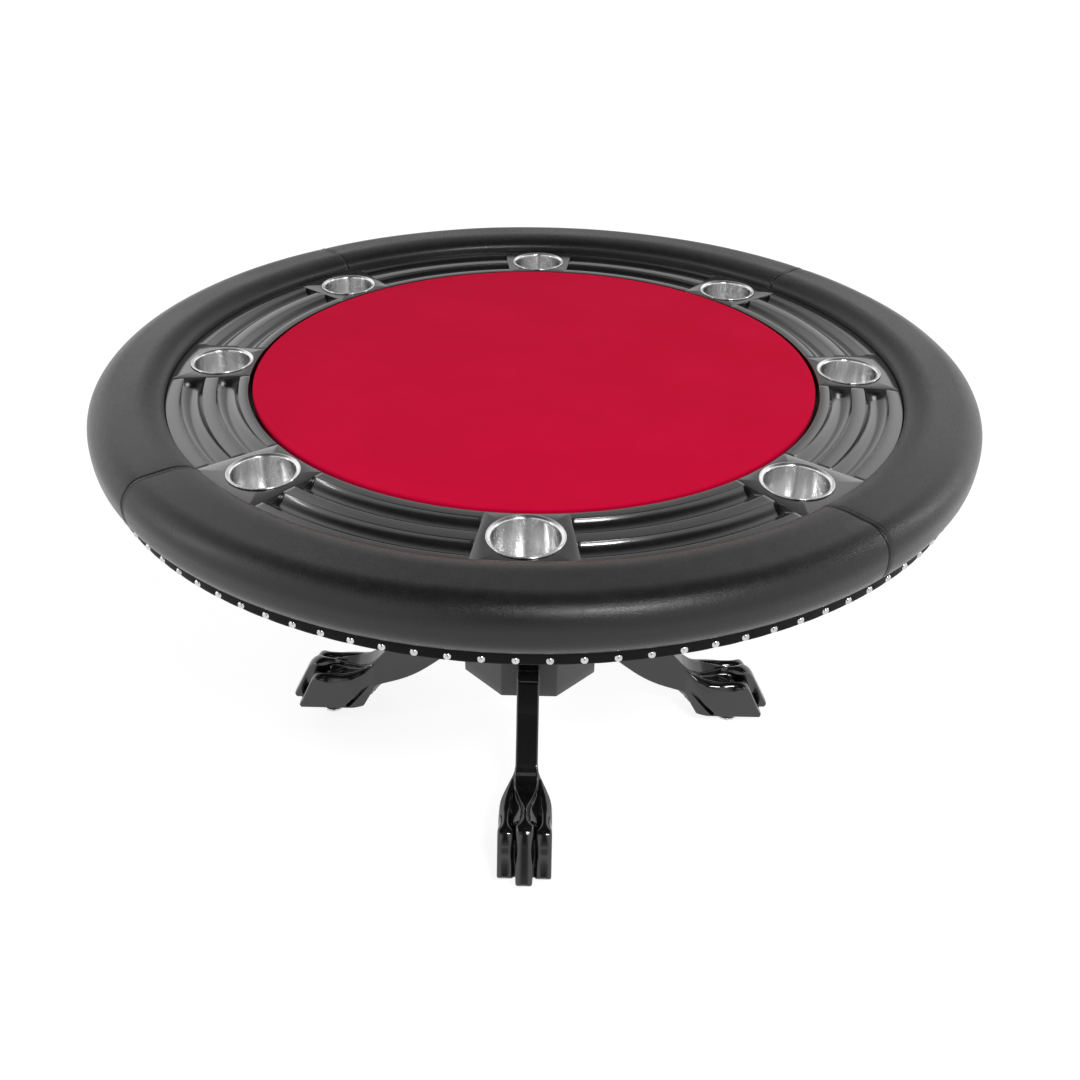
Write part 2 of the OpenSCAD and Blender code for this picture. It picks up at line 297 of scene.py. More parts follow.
def make_handling():
    """Soft smudges of two sizes and fine scuffs: Smudge and Scuff from 0 to 1."""
    tree, given, out = effect("handling_marks", {"Scale": 9.0, "Scuffs": 0.5}, ["Smudge", "Scuff"])
    broad = noise(tree, given["Place"], given["Scale"], 3.0, 0.55)
    tree.links.new(spread(tree, broad, 0.38, 0.68), out["Smudge"])
    fine = noise(tree, given["Place"], times(tree, given["Scale"], 14.0), 5.0, 0.7)
    marks = times(tree, spread(tree, fine, 0.56, 0.74), given["Scuffs"])
    tree.links.new(marks, out["Scuff"])
    return tree


def make_dust():
    """Dust that settles on faces that look up, broken by noise: Dust from 0 to 1."""
    tree, given, out = effect("settled_dust", {"Scale": 40.0, "Amount": 0.3}, ["Dust"])
    broken = spread(tree, noise(tree, given["Place"], given["Scale"], 6.0, 0.7), 0.35, 0.75)
    dust = times(tree, times(tree, spread(tree, look_up(tree), 0.2, 1.0), broken), given["Amount"])
    tree.links.new(dust, out["Dust"])
    return tree


def make_leather():
    """Pressed vinyl grain: rounded pebbles with creases between them, each a little higher or lower.
    Height from 0 to 1, Crease 1 in the valleys."""
    tree, given, out = effect("vinyl_grain", {"Scale": 700.0, "Uneven": 0.35}, ["Height", "Crease"])
    drift = noise(tree, given["Place"], times(tree, given["Scale"], 0.4), 2.0)
    cells = add(tree, "ShaderNodeTexVoronoi", {"Vector": given["Place"], "Scale": given["Scale"],
                "Randomness": 0.9}, feature="DISTANCE_TO_EDGE").outputs["Distance"]
    pebble = spread(tree, cells, 0.0, 0.22)
    lift = sums(tree, "MULTIPLY_ADD", drift, given["Uneven"], pebble)
    tree.links.new(lift, out["Height"])
    tree.links.new(sums(tree, "SUBTRACT", 1.0, pebble), out["Crease"])
    return tree


def make_weave():
    """Twill of crossing threads: ribs along x and y, each over two and under two, with stray fibres.
    Height from 0 to 1, Fibre from 0 to 1."""
    tree, given, out = effect("cloth_weave", {"Scale": 900.0, "Fluff": 0.5}, ["Height", "Fibre"])
    part = add(tree, "ShaderNodeSeparateXYZ", {0: given["Place"]}).outputs
    x = times(tree, part[0], given["Scale"])
    y = times(tree, part[1], given["Scale"])
    rib_x = sums(tree, "ABSOLUTE", sums(tree, "SINE", times(tree, x, math.pi)))
    rib_y = sums(tree, "ABSOLUTE", sums(tree, "SINE", times(tree, y, math.pi)))
    slant = sums(tree, "SINE", times(tree, sums(tree, "ADD", x, y), math.pi / 2))
    over = spread(tree, slant, -0.3, 0.3)
    threads = add(tree, "ShaderNodeMix", {0: over, 2: rib_x, 3: rib_y}, data_type="FLOAT").outputs[0]
    fluff = noise(tree, given["Place"], times(tree, given["Scale"], 1.7), 4.0, 0.75)
    tree.links.new(sums(tree, "MULTIPLY_ADD", fluff, given["Fluff"], threads), out["Height"])
    tree.links.new(spread(tree, fluff, 0.35, 0.7), out["Fibre"])
    return tree


def make_timber():
    """Plywood face grain: long wavering rings, fine pores along them and slow changes of tone."""
    tree, given, out = effect("timber_grain", {"Scale": 26.0}, ["Ring", "Pore"])
    place = given["Place"]
    along = add(tree, "ShaderNodeMapping", {"Vector": place, "Scale": (1.0, 9.0, 9.0)}).outputs[0]
    bent = noise(tree, along, 3.0, 3.0, 0.6)
    ring = sums(tree, "SINE", times(tree, bent, given["Scale"]))
    tree.links.new(spread(tree, ring, -1.0, 1.0), out["Ring"])
    fine = add(tree, "ShaderNodeMapping", {"Vector": place, "Scale": (12.0, 300.0, 300.0)}).outputs[0]
    tree.links.new(spread(tree, noise(tree, fine, 4.0, 3.0, 0.7), 0.5, 0.75), out["Pore"])
    return tree


def make_brushing():
    """Fine parallel streaks of a brushed metal wall: long one way of Place, short the other."""
    tree, given, out = effect("brushed_streaks", {"Across": 240.0, "Along": 2.0}, ["Streak", "Band"])
    part = add(tree, "ShaderNodeSeparateXYZ", {0: given["Place"]}).outputs
    along, across = times(tree, part[0], given["Along"]), times(tree, part[1], given["Across"])
    place = add(tree, "ShaderNodeCombineXYZ", {0: along, 1: across, 2: part[2]}).outputs[0]
    tree.links.new(noise(tree, place, 1.0, 4.0, 0.7), out["Streak"])
    broad = times(tree, across, 0.1)
    wide = add(tree, "ShaderNodeCombineXYZ", {0: along, 1: broad, 2: part[2]}).outputs[0]
    tree.links.new(spread(tree, noise(tree, wide, 1.0, 2.0), 0.35, 0.65), out["Band"])
    return tree


HANDLING, DUST, LEATHER = make_handling(), make_dust(), make_leather()
WEAVE, TIMBER, BRUSHING = make_weave(), make_timber(), make_brushing()


def use(tree, group, place, **values):
    """A shared effect placed in a material with its own values; gives its outputs."""
    node = add(tree, "ShaderNodeGroup", node_tree=group)
    tree.links.new(place, node.inputs["Place"])
    for label, value in values.items():
        node.inputs[label].default_value = value
    return node.outputs


def finish_of(name, **constants):
    """New material: its tree, its Principled shader with the constants set on their sockets, and the
    place on the object."""
    material = bpy.data.materials.new(name)
    material.use_nodes = True
    tree = material.node_tree
    shader = tree.nodes["Principled BSDF"]
    for key, value in constants.items():
        shader.inputs[key.replace("_", " ")].default_value = value
    place = add(tree, "ShaderNodeTexCoord").outputs["Object"]
    return material, tree, shader, place


def feed(tree, shader, **sources):
    for key, source in sources.items():
        tree.links.new(source, shader.inputs[key.replace("_", " ")])


def dulled(tree, marks, rough, more, scuffed):
    """Roughness: rough, up to more than that where smudged, and higher by scuffed where scuffed."""
    smudged = spread(tree, marks["Smudge"], 0, 1, rough, rough + more)
    return sums(tree, "MULTIPLY_ADD", marks["Scuff"], scuffed, smudged)


def relief(tree, shader, height, strength, distance):
    """Height brought to the shader as a bump of the given depth in metres."""
    bump = add(tree, "ShaderNodeBump", {"Height": height, "Strength": strength, "Distance": distance})
    tree.links.new(bump.outputs[0], shader.inputs["Normal"])


def speed_cloth_finish():
    """Crimson polyester speed cloth: twill relief, faint blotches, a soft sheen and a few light fibres."""
    material, tree, shader, place = finish_of("speed_cloth", Sheen_Weight=0.02, Sheen_Roughness=0.45,
                                              Specular_IOR_Level=0.03)
    shader.inputs["Sheen Tint"].default_value = (1.0, 0.45, 0.5, 1)
    weave = use(tree, WEAVE, place, Scale=950.0, Fluff=0.6)
    marks = use(tree, HANDLING, place, Scale=5.0, Scuffs=0.4)
    tone = tinted(tree, marks["Smudge"], (0.545, 0.0014, 0.031), (0.58, 0.0022, 0.036))
    tone = tinted(tree, times(tree, weave["Fibre"], 0.22), tone, (0.62, 0.007, 0.052))
    feed(tree, shader, Base_Color=tone, Roughness=spread(tree, weave["Height"], 0.0, 1.4, 0.92, 0.78))
    relief(tree, shader, weave["Height"], 0.35, 0.0002)
    return material


def vinyl_finish(name, dark, pale, rough, grain, depth, shine=0.5):
    """Black upholstery vinyl: pressed grain, slightly duller creases, a soft shine, handling marks, dust."""
    material, tree, shader, place = finish_of(name, Specular_IOR_Level=shine, Sheen_Weight=0.01)
    leather = use(tree, LEATHER, place, Scale=grain, Uneven=0.4)
    marks = use(tree, HANDLING, place, Scale=4.0, Scuffs=0.5)
    dust = use(tree, DUST, place, Scale=60.0, Amount=0.02)
    tone = tinted(tree, marks["Smudge"], dark, pale)
    tone = tinted(tree, dust["Dust"], tone, (0.30, 0.29, 0.28))
    wear = dulled(tree, marks, rough, 0.03, 0.05)
    feed(tree, shader, Base_Color=tone, Roughness=sums(tree, "MULTIPLY_ADD", leather["Crease"], 0.10, wear))
    relief(tree, shader, leather["Height"], depth, 0.00025)
    return material


def lacquer_finish(name, dark, pale, rough, spread_rough, coat, peel=0.06, pores=0.0):
    """Sprayed lacquer over board: slight orange peel, smudges, fine scuffs and a film of dust."""
    material, tree, shader, place = finish_of(name, Coat_Roughness=rough * 0.6, Specular_IOR_Level=0.5)
    shader.inputs["Coat Weight"].default_value = coat
    marks = use(tree, HANDLING, place, Scale=8.0, Scuffs=0.7)
    dust = use(tree, DUST, place, Scale=90.0, Amount=0.015)
    grain = use(tree, TIMBER, place, Scale=30.0)
    tone = tinted(tree, marks["Smudge"], dark, pale)
    tone = tinted(tree, dust["Dust"], tone, (0.34, 0.33, 0.32))
    feed(tree, shader, Base_Color=tone, Roughness=dulled(tree, marks, rough, spread_rough, 0.05))
    skin = noise(tree, place, 420.0, 2.0)
    relief(tree, shader, sums(tree, "MULTIPLY_ADD", grain["Pore"], pores, skin), peel, 0.0002)
    return material


def steel_finish(name, across, along, rough, tone_low, tone_high):
    """Brushed stainless steel: streaks in the tone and, faintly, in the roughness and relief, with the shine
    drawn out to one side of the lay."""
    material, tree, shader, place = finish_of(name, Metallic=1.0)
    lay = add(tree, "ShaderNodeTexCoord").outputs["UV"]
    brushing = use(tree, BRUSHING, lay, Across=across, Along=along)
    marks = use(tree, HANDLING, place, Scale=30.0, Scuffs=0.5)
    band = times(tree, brushing["Band"], 0.4)
    share = sums(tree, "ADD", times(tree, brushing["Streak"], 0.6), band)
    streaky = spread(tree, brushing["Streak"], 0.3, 0.7, rough, rough + 0.03)
    feed(tree, shader, Base_Color=tinted(tree, share, tone_low, tone_high),
         Roughness=sums(tree, "MULTIPLY_ADD", marks["Smudge"], 0.07, streaky))
    relief(tree, shader, brushing["Streak"], 0.01, 0.00004)
    shader.inputs["Anisotropic"].default_value = 0.85
    shader.inputs["Anisotropic Rotation"].default_value = 0.0
    tangent = add(tree, "ShaderNodeTangent", direction_type="UV_MAP").outputs[0]
    tree.links.new(tangent, shader.inputs["Tangent"])
    return material


def plated_finish(name, tone, dull, rough, scale=60.0):
    """Plated metal: bright, with smudges, tiny pits and a little tarnish."""
    material, tree, shader, place = finish_of(name, Metallic=1.0)
    marks = use(tree, HANDLING, place, Scale=scale, Scuffs=1.0)
    feed(tree, shader, Base_Color=tinted(tree, marks["Smudge"], tone, dull),
         Roughness=dulled(tree, marks, rough, 0.1, 0.15))
    relief(tree, shader, marks["Scuff"], 0.08, 0.0001)
    return material


def plywood_finish():
    """Birch plywood: pale veneer with rings and pores, and darker glue lines where a face stands upright."""
    material, tree, shader, place = finish_of("plywood", Specular_IOR_Level=0.3)
    grain = use(tree, TIMBER, place, Scale=26.0)
    veneer = tinted(tree, grain["Ring"], (0.50, 0.33, 0.17), (0.62, 0.44, 0.26))
    veneer = tinted(tree, times(tree, grain["Pore"], 0.5), veneer, (0.28, 0.17, 0.08))
    height = add(tree, "ShaderNodeSeparateXYZ", {0: place}).outputs[2]
    ply = spread(tree, sums(tree, "SINE", times(tree, height, math.tau / 0.003)), 0.2, 0.9)
    upright = spread(tree, sums(tree, "ABSOLUTE", look_up(tree)), 0.7, 0.3)
    glue = times(tree, times(tree, ply, upright), 0.65)
    tone = tinted(tree, glue, veneer, (0.22, 0.13, 0.07))
    feed(tree, shader, Base_Color=tone, Roughness=spread(tree, grain["Pore"], 0, 1, 0.55, 0.75))
    relief(tree, shader, sums(tree, "ADD", grain["Ring"], grain["Pore"]), 0.15, 0.0002)
    return material


def foam_finish():
    """Cream upholstery foam: open cells of two sizes, a little yellowed, with painted shade darkening the
    hollows between the cells.
    """
    material, tree, shader, place = finish_of("foam", Specular_IOR_Level=0.1)
    cells = use(tree, LEATHER, place, Scale=900.0, Uneven=0.8)
    marks = use(tree, HANDLING, place, Scale=8.0)
    tone = tinted(tree, marks["Smudge"], (0.72, 0.66, 0.48), (0.66, 0.57, 0.36))
    # Painted shade: the colour is darkened towards brown in the cell hollows.
    tone = tinted(tree, times(tree, cells["Crease"], 0.5), tone, (0.38, 0.31, 0.18))
    feed(tree, shader, Base_Color=tone, Roughness=spread(tree, cells["Height"], 0, 1, 1.0, 0.85))
    relief(tree, shader, cells["Height"], 0.8, 0.0005)
    return material


def thread_finish():
    """Black bonded thread: ply twist along the stitch."""
    material, tree, shader, place = finish_of("seam_thread", Sheen_Weight=0.3)
    twist = use(tree, WEAVE, place, Scale=2500.0, Fluff=0.8)
    feed(tree, shader, Base_Color=tinted(tree, twist["Fibre"], (0.012, 0.012, 0.013), (0.05, 0.05, 0.052)),
         Roughness=spread(tree, twist["Height"], 0, 1.5, 0.7, 0.5))
    relief(tree, shader, twist["Height"], 0.4, 0.0001)
    return material


CLOTH = speed_cloth_finish()
FOAM = foam_finish()
PLY = plywood_finish()
RAIL_VINYL = vinyl_finish("rail_vinyl", (0.0058, 0.0058, 0.0060), (0.0072, 0.0072, 0.0074),
                          0.25, 620.0, 0.24, 0.38)
# The apron's vinyl is coloured darker than the rail's vinyl: painted shade for the shadow the rail casts over
# the apron.
SHADED_APRON_VINYL = vinyl_finish("apron_vinyl", (0.003, 0.003, 0.0031), (0.0045, 0.0045, 0.0046),
                           0.42, 620.0, 0.18, 0.06)
THREAD = thread_finish()
TRACK = lacquer_finish("racetrack_lacquer", (0.0030, 0.0030, 0.0031), (0.0042, 0.0042, 0.0043),
                       0.20, 0.03, 0.9, 0.02)
COLUMN = lacquer_finish("column_lacquer", (0.016, 0.016, 0.0165), (0.022, 0.022, 0.0225),
                        0.36, 0.05, 0.1, 0.06, 0.4)
GLOSS = lacquer_finish("leg_gloss", (0.0022, 0.0022, 0.0023), (0.0032, 0.0032, 0.0033),
                       0.09, 0.03, 0.5, 0.012)
# The boards under the top, the base ring and the column plates are coloured near black.
DARK_UNDERSIDE = lacquer_finish("near_black_underside_board", (0.006, 0.006, 0.006), (0.012, 0.011, 0.010),
                       0.5, 0.1, 0.0, 0.2, 0.8)
STEEL = steel_finish("stainless_cup", 190.0, 0.8, 0.20, (0.74, 0.74, 0.74), (0.84, 0.84, 0.84))
CHROME = plated_finish("nail_chrome", (0.60, 0.59, 0.58), (0.48, 0.47, 0.46), 0.08)
PAD_CHROME = plated_finish("leveller_chrome", (0.74, 0.74, 0.75), (0.58, 0.58, 0.59), 0.12)
ZINC = plated_finish("zinc_steel", (0.62, 0.63, 0.62), (0.46, 0.47, 0.45), 0.30)
BRASS = plated_finish("insert_brass", (0.70, 0.50, 0.20), (0.55, 0.38, 0.14), 0.28)


# ---------------------------------------------------------------- playing surface

def make_playing_surface():
    """Cloth drawn over foam and board: a disc with a soft round edge, a skirt down the board and a hem
    turned under it.  Its thickness is one closed profile, out along the top and back along the inside."""
    t, r = 1.0, CLOTH_R
    top = outline((0, CLOTH_Z), *[(r * k, CLOTH_Z) for k in np.linspace(0.1, 0.9, 9)], (r - 12, CLOTH_Z))
    edge = arc((r - 3.2, CLOTH_Z - 3.2), 3.2, 3.2, 90, 0, 8)
    hem = outline((r, CLOTH_Z - 9), (r, BOARD_LOW + 1), (r - 0.4, BOARD_LOW - 0.6), (r - 1.4, BOARD_LOW - t),
                  (r - 10.5, BOARD_LOW - t), (r - 10.5, BOARD_LOW), (r - t, BOARD_LOW), (r - t, CLOTH_Z - 5))
    inside = outline(arc((r - 3.2, CLOTH_Z - 3.2), 3.2 - t, 3.2 - t, 0, 90, 6),
                     (r - 12, CLOTH_Z - t), (0, CLOTH_Z - t))
    cloth = solid("speed_cloth", [spun(outline(top, edge, hem, inside), 240)], CLOTH, "playing_surface",
                  ["playing_cloth"], sharp=60)
    low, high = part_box("playing_foam")
    f_low, f_high, f_r = low.z / MM, high.z / MM, high.x / MM
    pad = eased([(0.0, f_low), (f_r, f_low), (f_r, f_high), (0.0, f_high)], [0, 0.3, 1.6, 0])
    pad = pad[np.concatenate([[True], np.linalg.norm(np.diff(pad, axis=0), axis=1) > 1e-6])]
    foam = solid("playing_foam_pad", [spun(pad, 180)], FOAM, "playing_surface", ["playing_foam"])


# ---------------------------------------------------------------- racetrack

GROOVE_R, GROOVE_HALF = 20.2, 17.6
GROOVES = (491.5, 546.0)


def tray_section():
    """Board section with two round channels: each is the part of a circle below the top, with eased lips."""
    rise = math.sqrt(GROOVE_R**2 - GROOVE_HALF**2)
    half = math.degrees(math.asin(GROOVE_HALF / GROOVE_R))
    points, ease = [(TRACK_IN, TRACK_LOW), (TRACK_IN, TRACK_Z)], [0.6, 1.8]
    for r in GROOVES:
        channel = arc((r, TRACK_Z + rise), GROOVE_R, GROOVE_R, -90 - half, -90 + half, 24)
        points += [tuple(p) for p in channel]
        ease += [1.0] + [0.2] * (len(channel) - 2) + [1.0]
    points += [(TRACK_OUT, TRACK_Z), (TRACK_OUT, TRACK_LOW)]
    section = eased(points, ease + [1.2, 0.6], 3)
    keep = np.linalg.norm(section - np.roll(section, 1, 0), axis=1) > 0.02
    return section[keep]


def make_trays():
    section = tray_section()
    half = SEAT_STEP / 2 - BLOCK_HALF
    rim = math.degrees(0.9 / 520)
    steps = np.array([0, 0.3, 1.0]) * rim
    angles = np.concatenate([-half + steps, np.linspace(-half, half, 50)[1:-1], half - steps[::-1]])
    insets = np.concatenate([[0.8, 0.25, 0], np.zeros(48), [0, 0.25, 0.8]])
    points, wrap, caps = carried(section, angles, insets)
    for i in range(SEATS):
        turn = NEAR + (i + 0.5) * SEAT_STEP
        solid(f"racetrack_tray_{i + 1}", [(turned(points, turn), wrap, caps)], TRACK, "table",
              [f"chip_tray_{i + 1}"], sharp=30)


def block_outline(around, inset):
    """Distance from the cup's centre to the block's edge in each direction: the nearest of its two arcs and
    two radial sides.  An arc of radius R is met where |centre + t d| = R."""
    a = np.radians(around)
    dx, dy = np.cos(a), np.sin(a)
    far = np.full(a.shape, 1e9)
    for radius in (TRACK_IN + inset, TRACK_OUT - inset):
        half = CUP_RING * dx
        root = half**2 - CUP_RING**2 + radius**2
        good = root >= 0
        for sign in (-1, 1):
            t = -half + sign * np.sqrt(np.where(good, root, 0))
            far = np.minimum(far, np.where(good & (t > 0), t, 1e9))
    for sign in (-1, 1):
        side = math.radians(sign * BLOCK_HALF)
        nx, ny = -math.sin(side) * sign, math.cos(side) * sign
        across = dx * nx + dy * ny
        t = (-inset - CUP_RING * nx) / np.where(across > 1e-9, across, 1)
        far = np.minimum(far, np.where((across > 1e-9) & (t > 0), t, 1e9))
    return far


def make_cup_blocks():
    """Blocks of the racetrack between the trays: rings of points run from the bore to the block's edge, and
    every edge is eased."""
    bore = 46.5
    corners = []
    for radius in (TRACK_IN, TRACK_OUT):
        for sign in (-1, 1):
            a = math.radians(sign * BLOCK_HALF)
            corners.append(math.degrees(math.atan2(radius * math.sin(a), radius * math.cos(a) - CUP_RING)))
    around = np.unique(np.concatenate([np.arange(-180, 180, 3.0), np.array(corners)]))
    ring = [(0, bore + 0.8, TRACK_Z), (0, bore, TRACK_Z - 0.8), (0, bore, TRACK_LOW),
            (1, 0.0, TRACK_LOW), (1, 0.0, TRACK_Z - 1.2), (1, 0.35, TRACK_Z - 0.35), (1, 1.2, TRACK_Z)]
    a = np.radians(around)
    rows = []
    for at_edge, size, z in ring:
        reach = block_outline(around, size) if at_edge else np.full(around.shape, size)
        rows.append(np.stack([CUP_RING + reach * np.cos(a), reach * np.sin(a), np.full(around.shape, z)], -1))
    points = np.stack(rows)
    for i in range(SEATS):
        block = (turned(points, NEAR + i * SEAT_STEP), (True, True), False)
        solid(f"cup_block_board_{i + 1}", [block], TRACK, "table",
              [f"cup_block_{i + 1}"], sharp=30)


def make_cups():
    """Deep-drawn cups: a wall with a rounded foot, a short swaged step near the mouth and a rolled rim."""
    wall, t, rim = 45.5, 1.0, 51.0
    outer = outline((0, CUP_LOW), (wall - 12, CUP_LOW), arc((wall - 5, CUP_LOW + 5), 5, 5, -80, 0, 8),
                    (wall, TRACK_Z - 20), (wall, TRACK_Z - 4), (wall + 0.1, TRACK_Z - 0.2),
                    (wall + 0.6, TRACK_Z + 0.1))
    roll = outline((rim - 1.4, TRACK_Z + 0.1), arc((rim - 1.3, TRACK_Z + 1.35), 1.3, 1.15, -80, 100, 10),
                   (rim - 2.6, TRACK_Z + 2.1), (rim - 3.9, TRACK_Z + 1.3))
    inner = outline((wall - t + 0.5, TRACK_Z + 0.5), (wall - t, TRACK_Z - 0.8), (wall - t, TRACK_Z - 4),
                    (wall - t, TRACK_Z - 20), (wall - t, CUP_LOW + 8),
                    arc((wall - 5, CUP_LOW + 5), 5 - t, 5 - t, 0, -80, 8), (wall - 8, CUP_LOW + t),
                    (wall - 12, CUP_LOW + t + 0.5), (wall - 16, CUP_LOW + t), (0, CUP_LOW + t))
    profile = outline(outer, roll, inner)
    for i in range(SEATS):
        a = math.radians(NEAR + i * SEAT_STEP)
        centre = (CUP_RING * math.cos(a), CUP_RING * math.sin(a))
        solid(f"steel_cup_{i + 1}", [spun(profile, 96, centre)], STEEL, f"cup_{i + 1}",
              [f"cup_holder_{i + 1}"], sharp=50)


# ---------------------------------------------------------------- rail

def rail_skin():
    """Outer line of the padded rail from its inner lip over the top and round to the hem under the ring."""
    line = outline((RAIL_IN, TRACK_Z - 2),
                   arc((RAIL_IN + 42, TRACK_Z + 4), 42, RAIL_TOP - TRACK_Z - 4, 180, 90, 18),
                   arc((RAIL_R - 36, RING_TOP), 36, RAIL_TOP - RING_TOP, 90, 0, 18),
                   curve((RAIL_R, RING_TOP), (RAIL_R, RING_TOP - 16), (RAIL_R - 1, TRACK_LOW - 6),
                         (HEM_R + 5, HEM_Z + 4), 12),
                   (HEM_R + 1, HEM_Z + 0.5), (HEM_R, HEM_Z))
    return evenly(line, RAIL_STEP)


def facing_of(line):
    """Unit directions square to an open line, on its left as it runs."""
    along = np.gradient(line, axis=0)
    along /= np.linalg.norm(along, axis=1)[:, None]
    return np.stack([-along[:, 1], along[:, 0]], -1)


STITCH, STITCH_IN = 4.2, 5.6


def rail_relief(from_seam, to_seam, along, angle):
    """How far the vinyl lies below the smooth skin: a rounded turn-in at both seams, a soft hollow beside
    them, puckers as wide as a stitch along the stitched side and slow waves of the foam."""
    near = np.minimum(from_seam, to_seam)
    turn = 3.2 * (1 - np.sqrt(1 - (1 - np.clip(near / 3.2, 0, 1))**2))
    hollow = 0.7 * np.exp(-near / 16)
    pucker = 0.28 * (0.5 + 0.5 * np.cos(2 * np.pi * along / STITCH))
    pucker = pucker * np.exp(-((from_seam - STITCH_IN) / 2.6)**2)
    line = 0.35 * np.exp(-((from_seam - STITCH_IN) / 1.5)**2)
    gather = 0.20 * np.sin(along / 5.1 + 1.3 * np.sin(angle * 9)) * np.exp(-near / 26)
    wave = 0.16 * np.sin(7 * angle + along / 21) + 0.10 * np.sin(17 * angle - along / 13 + 1.7)
    return turn + hollow + pucker + line + gather + wave + 0.26


def make_rail():
    """Four panels of vinyl over foam.  The skin is moved in by rail_relief and closed along the base ring, so
    each panel is one padded form with its two ends turned in at the seams."""
    skin = rail_skin()
    facing = facing_of(skin)
    along = np.arange(len(skin)) * RAIL_STEP
    held = np.clip((len(skin) - 1 - np.arange(len(skin))) / 8, 0, 1) * np.clip(np.arange(len(skin)) / 3, 0, 1)
    base = outline((HEM_R - SKIN, HEM_Z), (HEM_R - SKIN, RING_TOP - 9), (HEM_R - SKIN, RING_TOP),
                   (650, RING_TOP), (RAIL_IN + SKIN, RING_TOP), (RAIL_IN + SKIN, TRACK_LOW),
                   (RAIL_IN, TRACK_LOW))
    close = np.array([0.05, 0.3, 0.7, 1.2, 1.8, 2.6, 3.6, 4.4, 5.0, 5.6, 6.2, 7.0, 8.5, 10.5,
                      13, 17, 22, 29, 38])
    close = np.degrees(close / 650)
    middle = np.linspace(close[-1], PANEL_STEP - close[-1], 84)[1:-1]
    sweep = np.concatenate([close, middle, PANEL_STEP - close[::-1]])
    reach = np.radians(sweep)[:, None] * skin[None, :, 0]
    left = np.radians(PANEL_STEP - sweep)[:, None] * skin[None, :, 0]
    for i in range(PANELS):
        start = FIRST_SEAM + i * PANEL_STEP
        sink = rail_relief(reach, left, along[None, :], np.radians(start + sweep)[:, None]) * held
        end = np.maximum(0, 0.8 - np.minimum(reach, left)) * (1 - held)
        line = skin[None] + (sink + end)[..., None] * -facing[None]
        full = np.concatenate([line, np.broadcast_to(base, (len(sweep), *base.shape))], 1)
        points = about_axis(full[..., 0], full[..., 1], (start + sweep)[:, None])
        stands_for = [f"rail_cover_{i + 1}"] + (["rail_foam"] if i == 0 else [])
        panel = solid(f"rail_panel_{i + 1}", [(points, (False, True), True)], RAIL_VINYL, "table",
                      stands_for, sharp=60, weld=False)
        make_stitches(i, start, skin[2:-6], facing[2:-6])


def make_stitches(i, start, skin, facing):
    """One thread along a seam: a round tube whose middle line rises over the vinyl between two holes and
    dips under it at each, one stitch apart."""
    line, turn = evenly_pair(skin, facing, 0.6)
    run = np.arange(len(line)) * 0.6
    rise = 0.34 * np.cos(2 * np.pi * run / STITCH + np.pi) - 0.42
    middle = line + rise[:, None] * turn
    angle = start + np.degrees(STITCH_IN / middle[:, 0])
    centre = about_axis(middle[:, 0], middle[:, 1], angle)
    out = about_axis(turn[:, 0], turn[:, 1], angle)
    a = np.radians(angle)
    side = np.stack([-np.sin(a), np.cos(a), np.zeros(len(a))], -1)
    round_it = np.radians(np.arange(6) * 60)[None, :, None]
    points = centre[:, None] + 0.42 * (np.cos(round_it) * out[:, None] + np.sin(round_it) * side[:, None])
    solid(f"seam_stitches_{i + 1}", [(points, (False, True), True)], THREAD, "table", sharp=0)


def evenly_pair(line, facing, step):
    """A line and its facings brought to even steps along its length."""
    length = np.concatenate([[0], np.cumsum(np.linalg.norm(np.diff(line, axis=0), axis=1))])
    at = np.arange(0, length[-1], step)
    fresh = [np.stack([np.interp(at, length, part[:, k]) for k in range(2)], -1) for part in (line, facing)]
    return fresh[0], fresh[1] / np.linalg.norm(fresh[1], axis=1)[:, None]


# ---------------------------------------------------------------- apron

NAIL_R, NAIL_UP, NAIL_RISE = 5.2, 7.0, 3.2


def make_apron():
    """Vinyl-covered band: its face dips round each nail as depth e^-(d / 6)^2, is drawn up between nails and
    rolls over the lower edge."""
    per_nail = 14
    back = APRON_R - 26
    section = eased([(back, APRON_LOW), (APRON_R, APRON_LOW), (APRON_R, TRACK_LOW), (back, TRACK_LOW)],
                    [0.8, 3.5, 1.0, 0.6], 6)
    section = evenly(section, 1.5, closed=True)
    face = section[:, 0] > APRON_R - 4
    angles = np.arange(NAILS * per_nail) * 360 / (NAILS * per_nail)
    gap = np.radians(360 / NAILS) * APRON_R
    across = (((angles - FIRST_NAIL) / 360 * NAILS + 0.5) % 1 - 0.5) * gap
    up = section[:, 1] - (APRON_LOW + NAIL_UP)
    distance = np.hypot(across[:, None], up[None])
    drawn = 0.16 * np.cos(2 * np.pi * across[:, None] / gap) * np.exp(-(up[None] / 14)**2)
    dip = 0.75 * np.exp(-(distance / 6.0)**2) + drawn
    fan = 0.10 * np.sin(np.arctan2(up[None], across[:, None]) * 10) * np.exp(-((distance - 9) / 4)**2)
    keep = np.where(face, 1.0, 0.0) * np.clip((TRACK_LOW - 2 - section[:, 1]) / 6, 0, 1)
    radius = section[:, 0][None] - (dip + fan + 0.16) * keep[None]
    points = about_axis(radius, section[:, 1][None], angles[:, None])
    solid("apron_cover", [(points, (True, True), False)], SHADED_APRON_VINYL, "table", ["apron_band"],
          sharp=50, weld=False)


